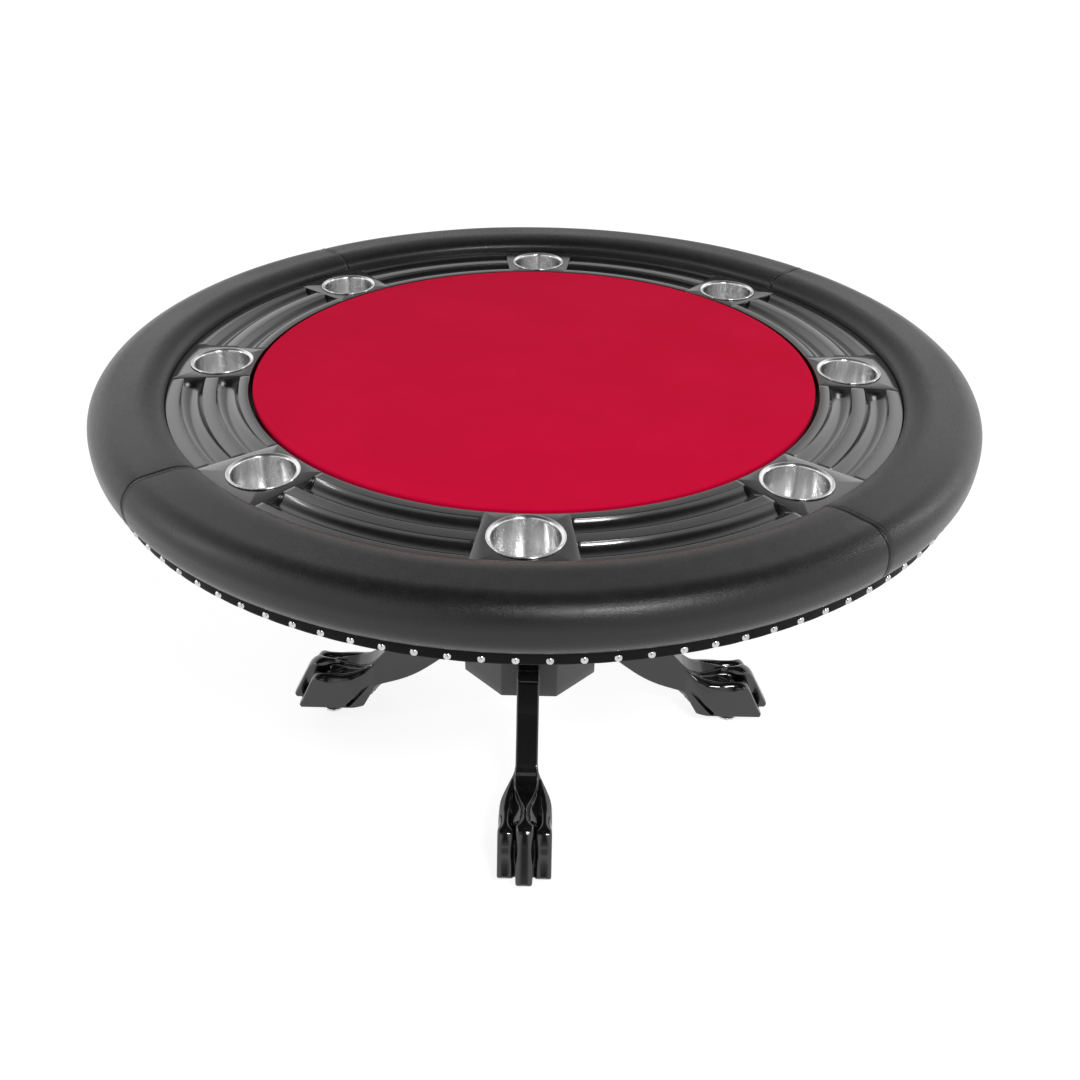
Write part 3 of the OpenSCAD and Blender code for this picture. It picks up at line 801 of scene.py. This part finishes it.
def make_nails():
    """Dome nails: each a cap of a sphere with a small turned lip, facing straight out from the apron."""
    ball = (NAIL_R**2 + NAIL_RISE**2) / (2 * NAIL_RISE)
    across = np.array([0, 2.1, 3.9, 5.0, 5.2])
    out = np.sqrt(ball**2 - np.minimum(across, 5.0)**2) - (ball - NAIL_RISE) - 0.35
    out[-1] = -0.55
    around = np.radians(np.arange(12) * 30)
    at = np.radians(FIRST_NAIL + np.arange(NAILS) * 360 / NAILS)[:, None, None]
    radius = APRON_R + out[None, :, None]
    side = (across[:, None] * np.cos(around))[None]
    up = (across[:, None] * np.sin(around))[None]
    z = np.broadcast_to(APRON_LOW + NAIL_UP + up, (NAILS, 5, 12))
    x, y = radius * np.cos(at) - side * np.sin(at), radius * np.sin(at) + side * np.cos(at)
    points = np.stack([x, y, z], -1)
    parts = [(p, (False, True), False) for p in points]
    solid("dome_nails", parts, CHROME, "table", ["upholstery_nails"], sharp=70)


# ---------------------------------------------------------------- column

def octagon(width, ease, steps=3):
    """Eight-sided outline across its flats, one flat towards -Y, its corners eased."""
    a = np.radians(22.5 + 45 * np.arange(8))
    reach = width / 2 / math.cos(math.radians(22.5))
    return eased(np.stack([reach * np.cos(a), reach * np.sin(a)], -1), ease, steps)


def make_column():
    """Hollow eight-sided column with softened arrises and a small chamfer round its lower end."""
    rows = [(COLUMN_W - 3.0, 1.4, COLUMN_LOW), (COLUMN_W - 0.8, 2.0, COLUMN_LOW + 0.5),
            (COLUMN_W, 2.4, COLUMN_LOW + 1.6)]
    rows += [(COLUMN_W, 2.4, z) for z in np.linspace(COLUMN_LOW + 20, COLUMN_TOP, 12)]
    rows += [(COLUMN_W - 36, 0.4, COLUMN_TOP), (COLUMN_W - 36, 0.4, COLUMN_LOW)]
    points = np.stack([np.concatenate([octagon(w, e), np.full((32, 1), z)], 1) for w, e, z in rows])
    solid("column_casing", [(points, (True, True), False)], COLUMN, "table",
          ["column"], sharp=25)


# ---------------------------------------------------------------- legs

def distance_to(x, y, points):
    """Signed distance to a closed outline, negative inside: the least distance to its edges, its sign from
    how often a line to the right of the place crosses them."""
    x, y = np.broadcast_arrays(x, y)
    px, py = x.reshape(-1, 1), y.reshape(-1, 1)
    a, b = points, np.roll(points, -1, 0)
    ex, ey = (b - a).T
    share = np.clip(((px - a[:, 0]) * ex + (py - a[:, 1]) * ey) / (ex**2 + ey**2 + 1e-12), 0, 1)
    near = np.hypot(px - a[:, 0] - share * ex, py - a[:, 1] - share * ey).min(1)
    spans = (a[:, 1] > py) != (b[:, 1] > py)
    crossing = px < a[:, 0] + ex * (py - a[:, 1]) / np.where(ey == 0, 1e-9, ey)
    inside = (spans & crossing).sum(1) % 2 == 1
    return np.where(inside, -near, near).reshape(x.shape)


def cut_from(flat, across, ease):
    """Distance to a shape sawn from a board: flat is its distance in the board's plane and across its
    distance through the thickness, with the edges between them rounded by ease."""
    a, b = flat + ease, across + ease
    return np.minimum(np.maximum(a, b), 0) + np.hypot(np.maximum(a, 0), np.maximum(b, 0)) - ease


def joined(a, b, width):
    """Two distances made one shape, with a fillet of about width where they meet."""
    share = np.clip(0.5 + 0.5 * (b - a) / width, 0, 1)
    return b + (a - b) * share - width * share * (1 - share)


def bump_at(r, centre, width):
    return np.exp(-((r - centre) / width)**2)


def ramp(r, start, length):
    """0 up to start and 1 past start + length, with 3 t^2 - 2 t^3 between."""
    t = np.clip((r - start) / length, 0, 1)
    return t**2 * (3 - 2 * t)


def leg_outlines():
    """Side views of the leg's board, the paw's core, a side toe, the middle toe and the heel."""
    board = outline((COLUMN_W / 2, 336), (150, 336), arc((150, 326), 10, 10, 75, 0, 6), (160, 268),
                    arc((170, 268), 10, 10, 195, 270, 6), (194, 258),
                    curve((194, 258), (214, 258), (224, 242), (238, 212), 12),
                    curve((238, 212), (254, 176), (266, 160), (290, 133), 10),
                    curve((290, 133), (308, 116), (322, 113), (350, 115), 10), (372, 117),
                    (384, 100), (384, 60), (350, PAW_Z), (334, PAW_Z),
                    arc((334, PAW_Z + 7), 7, 7, 255, 195, 4),
                    curve((327, PAW_Z + 7), (318, 52), (306, 64), (280, 72), 10),
                    curve((280, 72), (256, 80), (232, 86), (198, 112), 10),
                    curve((198, 112), (170, 134), (150, 150), (COLUMN_W / 2, 190), 8))
    core = outline((300, 74), (306, 106), (330, 104), (360, 100), (388, 91), (402, 84), (412, 68),
                   (422, 54), (430, 46),
                   (436, 36), (440, PAW_Z - 6), (350, PAW_Z - 6), (338, 44))
    side = outline((292, 72), (292, 126), (296, 123),
                   curve((296, 123), (310, 112), (326, 108), (352, 105), 10),
                   curve((352, 105), (372, 103), (388, 105), (400, 104.5), 8),
                   curve((400, 104.5), (413, 104), (417, 95), (422, 84), 8),
                   curve((422, 84), (425, 77), (428, 71), (430, 66), 6),
                   curve((430, 66), (434, 57), (439, 46), (444.5, 36), 6), (443, 32), (436, PAW_Z - 14),
                   (346, PAW_Z - 14), (312, 50))
    middle = outline((340, 60), (340, 106), (356, 112.5),
                     curve((356, 112.5), (370, 113), (384, 117), (400, 117.5), 8),
                     curve((400, 117.5), (420, 117.5), (427, 103), (433, 90), 8),
                     curve((433, 90), (437, 82), (440, 76), (443, 70), 6),
                     curve((443, 70), (447, 62), (454, 48), (TOE_R + 0.6, 36), 6), (TOE_R - 1, 32),
                     (TOE_R - 8, PAW_Z - 14), (380, PAW_Z - 14))
    heel = outline((329, 42), (333, PAW_Z - 8), (356, PAW_Z - 8), (353, 50), (344, 68), (318, 92),
                   (304, 84), (310, 66))
    return board, core, side, middle, heel


LEG_BOARD, PAW_CORE, SIDE_TOE, MIDDLE_TOE, HEEL = leg_outlines()
HALF_PAW, HALF_BOARD = 44.5, 19.0


def paw_distance(r, across, z):
    """Signed distance to one leg and its paw at radius r, across from the leg's middle and height z."""
    side = np.abs(across)
    flare = np.sin(np.pi / 2 * np.clip((r - 294) / 54, 0, 1))
    edge = HALF_BOARD + (HALF_PAW - HALF_BOARD) * flare
    crest = HALF_BOARD - 0.5 + 13.5 * np.sin(np.pi / 2 * np.clip((r - 296) / 70, 0, 1))
    taper = HALF_BOARD - 21.0 * np.clip((r - 318) / 64, 0, 1)**1.25
    low = np.clip((108 - z) / 12, 0, 1)
    ease = 2.4 - 1.3 * np.clip((r - 300) / 24, 0, 1)
    board = cut_from(distance_to(r, z, LEG_BOARD), side - np.maximum(taper, HALF_BOARD * low), ease)
    core = cut_from(distance_to(r, z, PAW_CORE), side - (edge - 1.5), 6.0)
    away = side - crest
    front = ramp(r, 384, 26)
    fall = (0.080 - 0.068 * front) * away**2
    out = 12.0 + 1.4 * bump_at(r, 404, 15) - 2.0 * bump_at(r, 425, 8) + 1.0 * bump_at(r, 437, 9)
    flank = np.maximum(side - edge, -away - out - 1.5)
    toes = cut_from(distance_to(r + 0.4 * fall, z + fall, SIDE_TOE), flank, 2.6 + 0.8 * front)
    fall = (0.100 - 0.088 * front) * side**2
    half = 13.2 + 1.6 * bump_at(r, 410, 13) - 2.0 * bump_at(r, 431, 9) + 1.2 * bump_at(r, 446, 10)
    half = half - 8.0 * (1 - ramp(r, 372, 36))
    middle = cut_from(distance_to(r + 0.4 * fall, z + fall, MIDDLE_TOE), side - half, 3.5 + 0.7 * front)
    cheek = side - HALF_PAW
    paw = joined(joined(board, core, 6.0), joined(toes, middle, 4.0), 6.0)
    paw = np.maximum(paw, cheek)
    heel = cut_from(distance_to(r, z, HEEL), side - (39.0 - 20.0 * np.clip((z - 46) / 40, 0, 1)), 3.5)
    paw = joined(paw, heel, 3.0)
    share = np.clip(((r - 350) * -38 + (z - 36) * 42) / (38**2 + 42**2), 0, 1)
    slot = np.hypot(r - 350 + 38 * share, z - 36 - 42 * share) - 3.4
    recess = np.maximum(slot, 30.0 - side)
    paw = -joined(-paw, recess, 3.0)
    return -joined(-paw, -(PAW_Z - z), 1.6)


def skin_of(distance, lowest, highest, cell):
    """Closed skin where a distance is nought: one point in each cell that it crosses, at the mean of the
    crossings on the cell's edges, and a four-sided face round each crossed grid edge."""
    axes = [np.arange(a, b + cell, cell) for a, b in zip(lowest, highest)]
    values = distance(axes[0][:, None, None], axes[1][None, :, None], axes[2][None, None, :])
    shape = np.array(values.shape) - 1
    total, count = np.zeros((*shape, 3)), np.zeros(shape)
    base = np.stack(np.meshgrid(*[a[:-1] for a in axes], indexing="ij"), -1)
    for axis in range(3):
        others = [k for k in range(3) if k != axis]
        for step in ((0, 0), (0, 1), (1, 0), (1, 1)):
            start = [0, 0, 0]
            start[others[0]], start[others[1]] = step
            stop = list(start)
            stop[axis] = 1
            v0 = values[tuple(slice(s, s + n) for s, n in zip(start, shape))]
            v1 = values[tuple(slice(s, s + n) for s, n in zip(stop, shape))]
            met = (v0 < 0) != (v1 < 0)
            share = np.where(met, v0 / np.where(met, v0 - v1, 1), 0)
            place = base + np.array(start) * cell
            place[..., axis] += share * cell
            total += np.where(met[..., None], place, 0)
            count += met
    crossed = count > 0
    number = np.full(shape, -1)
    number[crossed] = np.arange(crossed.sum())
    verts = total[crossed] / count[crossed][:, None]
    faces = []
    for axis in range(3):
        b, c = [k for k in range(3) if k != axis]
        inside = values < 0
        one = [slice(1, n) for n in shape]
        one[axis] = slice(0, shape[axis])
        two = list(one)
        two[axis] = slice(1, shape[axis] + 1)
        first, second = inside[tuple(one)], inside[tuple(two)]
        spot = np.argwhere(first != second)
        spot[:, b] += 1
        spot[:, c] += 1
        corners = []
        for db, dc in ((-1, -1), (0, -1), (0, 0), (-1, 0)):
            at = spot.copy()
            at[:, b] += db
            at[:, c] += dc
            corners.append(number[tuple(at.T)])
        quad = np.stack(corners, 1)
        away = first[first != second]
        flip = away if axis != 1 else ~away
        faces.append(np.where(flip[:, None], quad, quad[:, ::-1]))
    return verts, np.concatenate(faces)


def settle(verts, distance, rounds, limit):
    """Points moved onto the surface along its slope, each by no more than limit; gives them and the slope
    there taken over about a millimetre to each side."""
    for reach in [0.1] * rounds + [0.9]:
        steps = reach * np.eye(3)
        rise = [distance(*(verts + step).T) - distance(*(verts - step).T) for step in steps]
        slope = np.stack(rise, -1) / (2 * reach)
        size = np.maximum(np.linalg.norm(slope, axis=1), 0.3)[:, None]
        if reach < 0.5:
            verts = verts - np.clip(distance(*verts.T)[:, None] / size, -limit, limit) * slope / size
    return verts, slope / np.maximum(np.linalg.norm(slope, axis=1), 1e-9)[:, None]


def make_legs():
    """One carved leg worked out as the skin of paw_distance, then turned to the four sides."""
    cell = 2.0
    verts, faces = skin_of(paw_distance, (117.3, -49.1, 26.3), (466, 49, 341), cell)
    verts, facing = settle(verts, paw_distance, 2, 0.6)
    for i in range(LEGS):
        turn = NEAR + i * LEG_STEP
        mesh = bpy.data.meshes.new(f"paw_leg_{i + 1}")
        mesh.from_pydata((turned(verts, turn) * MM).tolist(), [], faces.tolist())
        mesh.shade_smooth()
        mesh.normals_split_custom_set_from_vertices(turned(facing, turn).tolist())
        placed(f"paw_leg_{i + 1}", mesh, GLOSS, "table",
               [f"leg_{i + 1}", f"paw_sides_{i + 1}"], sharp=0)


def make_levellers():
    """Domed chrome feet, studs with a rolled M10 thread of pitch 1.5 and their lock nuts.  The thread is a
    surface of height and angle, r = stud - depth |2 frac(z / pitch - angle / turn) - 1|."""
    pad = outline((0, 0), (PAD_R - 4, 0), arc((PAD_R - 1, 1), 1, 1, -90, 0, 4), (PAD_R, 3),
                  curve((PAD_R, 3), (PAD_R - 1.2, 6.2), (13, PAD_TOP), (9.5, PAD_TOP), 12),
                  (5.1, PAD_TOP), (5.1, 3.2), (0, 3.2))
    stud, pitch, depth, foot, top = 5.0, 1.5, 0.85, 3.2, 53.0
    z = np.arange(foot, top, 0.25)
    a = np.arange(36) * 10.0
    ramp = np.abs(2 * ((z[:, None] / pitch - a[None] / 360) % 1) - 1)
    ends = np.clip(np.minimum(z - foot, top - z) / 1.2, 0, 1)[:, None]
    radius = (stud - 0.05 - depth * (1 - ramp)) * (0.8 + 0.2 * ends)
    thread = about_axis(radius, z[:, None], a[None])
    sixths = np.radians(60 * np.arange(6))
    hexagon = eased(np.stack([7.5 * np.cos(sixths), 7.5 * np.sin(sixths)], -1), 0.5, 2)
    nut = np.stack([np.concatenate([hexagon * k, np.full((18, 1), h)], 1) for k, h in
                    ((0.64, 8.1), (0.9, 8.1), (1, 8.6), (1, 12.4), (0.9, 12.9), (0.64, 12.9))])
    for i in range(LEGS):
        a = math.radians(NEAR + i * LEG_STEP)
        centre = np.array([LEVELLER_R * math.cos(a), LEVELLER_R * math.sin(a), 0])
        solid(f"leveller_foot_{i + 1}", [spun(pad, 64, centre[:2])], PAD_CHROME, f"leveller_{i + 1}",
              [f"leveller_pad_{i + 1}"], sharp=45)
        parts = [(thread + centre, (False, True), True), (nut + centre, (True, True), False)]
        solid(f"leveller_thread_{i + 1}", parts, ZINC, f"leveller_screw_{i + 1}",
              [f"leveller_stud_{i + 1}"], sharp=30)


def dress_cad_nodes():
    """The hidden boards and fixings keep their CAD shape and get their timber, a near-black colour on the
    boards under the top, zinc and brass.
    """
    finishes = {PLY: ["playing_board"],
                DARK_UNDERSIDE: ["board_riser", "rail_base_ring", "table_deck", "column_top_plate",
                        "column_bottom_plate"],
                ZINC: ["deck_screws", "leg_bolts"], BRASS: ["leveller_inserts"]}
    for material, names in finishes.items():
        for name in names:
            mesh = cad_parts[name].data
            mesh.materials.clear()
            mesh.materials.append(material)


# ---------------------------------------------------------------- studio

def make_floor():
    """Pale studio floor with a faint mottle, glowing a little so that shadows stay soft."""
    material, tree, shader, place = finish_of("studio_floor", Specular_IOR_Level=0.1)
    marks = use(tree, HANDLING, place, Scale=0.8, Scuffs=0.1)
    feed(tree, shader, Base_Color=tinted(tree, marks["Smudge"], (0.34, 0.34, 0.34), (0.32, 0.32, 0.32)),
         Roughness=spread(tree, marks["Smudge"], 0, 1, 0.85, 0.95))
    shader.inputs["Emission Color"].default_value = (1, 1, 1, 1)
    shader.inputs["Emission Strength"].default_value = 0.82
    reach = np.array([0, 1, 2, 3, 5, 9, 16, 30.0])
    points, wrap = spun(np.stack([reach / MM, np.zeros(8)], -1), 48)[:2]
    verts, faces = grid_faces(points, wrap)[:2]
    mesh = bpy.data.meshes.new("studio_floor")
    mesh.from_pydata((verts * MM).tolist(), [], faces)
    work = bmesh.new()
    work.from_mesh(mesh)
    bmesh.ops.remove_doubles(work, verts=work.verts, dist=1e-6)
    bmesh.ops.recalc_face_normals(work, faces=work.faces)
    if sum(f.normal.z for f in work.faces) < 0:
        bmesh.ops.reverse_faces(work, faces=work.faces)
    work.to_mesh(mesh)
    work.free()
    mesh.materials.append(material)
    floor = bpy.data.objects.new("studio_floor", mesh)
    bpy.context.scene.collection.objects.link(floor)


def area_light(name, place, target, size, power):
    light = bpy.data.lights.new(name, "AREA")
    light.shape, light.size, light.size_y, light.energy = "RECTANGLE", *size, power
    lamp = bpy.data.objects.new(name, light)
    lamp.location = place
    lamp.rotation_euler = (Vector(target) - Vector(place)).to_track_quat("-Z", "Y").to_euler()
    bpy.context.scene.collection.objects.link(lamp)


def make_light():
    """Studio surroundings: bright panels low down at both sides, dimmer behind, nearly dark overhead and in
    front, with one strong lamp above the front and a tall strip at each side."""
    world = bpy.data.worlds.new("studio")
    world.use_nodes = True
    tree = world.node_tree
    way = add(tree, "ShaderNodeTexCoord").outputs["Generated"]
    part = add(tree, "ShaderNodeSeparateXYZ", {0: way}).outputs
    side = spread(tree, sums(tree, "ABSOLUTE", part[0]), 0.08, 0.32)
    panels = times(tree, side, spread(tree, part[2], 0.55, 0.85, 1.15, 0.0))
    behind = times(tree, spread(tree, part[1], 0.1, 0.6),
                   spread(tree, part[2], 0.1, 0.5, 0.85, 0.42))
    behind = times(tree, behind, spread(tree, part[2], 0.62, 0.92, 1.0, 0.35))
    front = times(tree, spread(tree, part[1], 0.1, -0.4), spread(tree, part[2], -0.05, 0.2, 0.35, 0.04))
    level = sums(tree, "ADD", sums(tree, "MAXIMUM", panels, sums(tree, "MAXIMUM", behind, front)), 0.055)
    tree.links.new(level, tree.nodes["Background"].inputs["Strength"])
    tree.nodes["Background"].inputs["Color"].default_value = (1, 1, 1, 1)
    bpy.context.scene.world = world
    area_light("top_lamp", (1.0, -2.6, 3.1), (0.1, -0.3, 0.7), (0.85, 0.42), 62)
    area_light("left_strip", (-3.2, -0.8, 1.9), (0, 0, 0.6), (0.2, 1.5), 10)
    area_light("right_strip", (3.3, 0.4, 1.9), (0, 0, 0.6), (0.2, 1.5), 10)


def make_camera():
    """View from in front and above: the place and aim are turned a little about the table's axis."""
    down, roll, turn = 0.5247, 0.0058, 0.025
    place = Vector((-0.0195, -1.6992, 1.5045))
    camera = bpy.data.objects.new("camera", bpy.data.cameras.new("camera"))
    camera.data.sensor_width = 36
    camera.data.lens = 1128.1 / 1080 * 36
    camera.data.shift_x, camera.data.shift_y = 19 / 1080, -60 / 1080
    camera.matrix_world = (Matrix.Rotation(turn, 4, "Z") @ Matrix.Translation(place)
                           @ Matrix.Rotation(math.pi / 2 - down, 4, "X") @ Matrix.Rotation(roll, 4, "Z"))
    bpy.context.scene.collection.objects.link(camera)
    bpy.context.scene.camera = camera


make_camera()
make_playing_surface()
make_trays()
make_cup_blocks()
make_cups()
make_rail()
make_apron()
make_nails()
make_column()
make_legs()
make_levellers()
dress_cad_nodes()
make_floor()
make_light()
bpy.context.scene.view_settings.view_transform = "Standard"
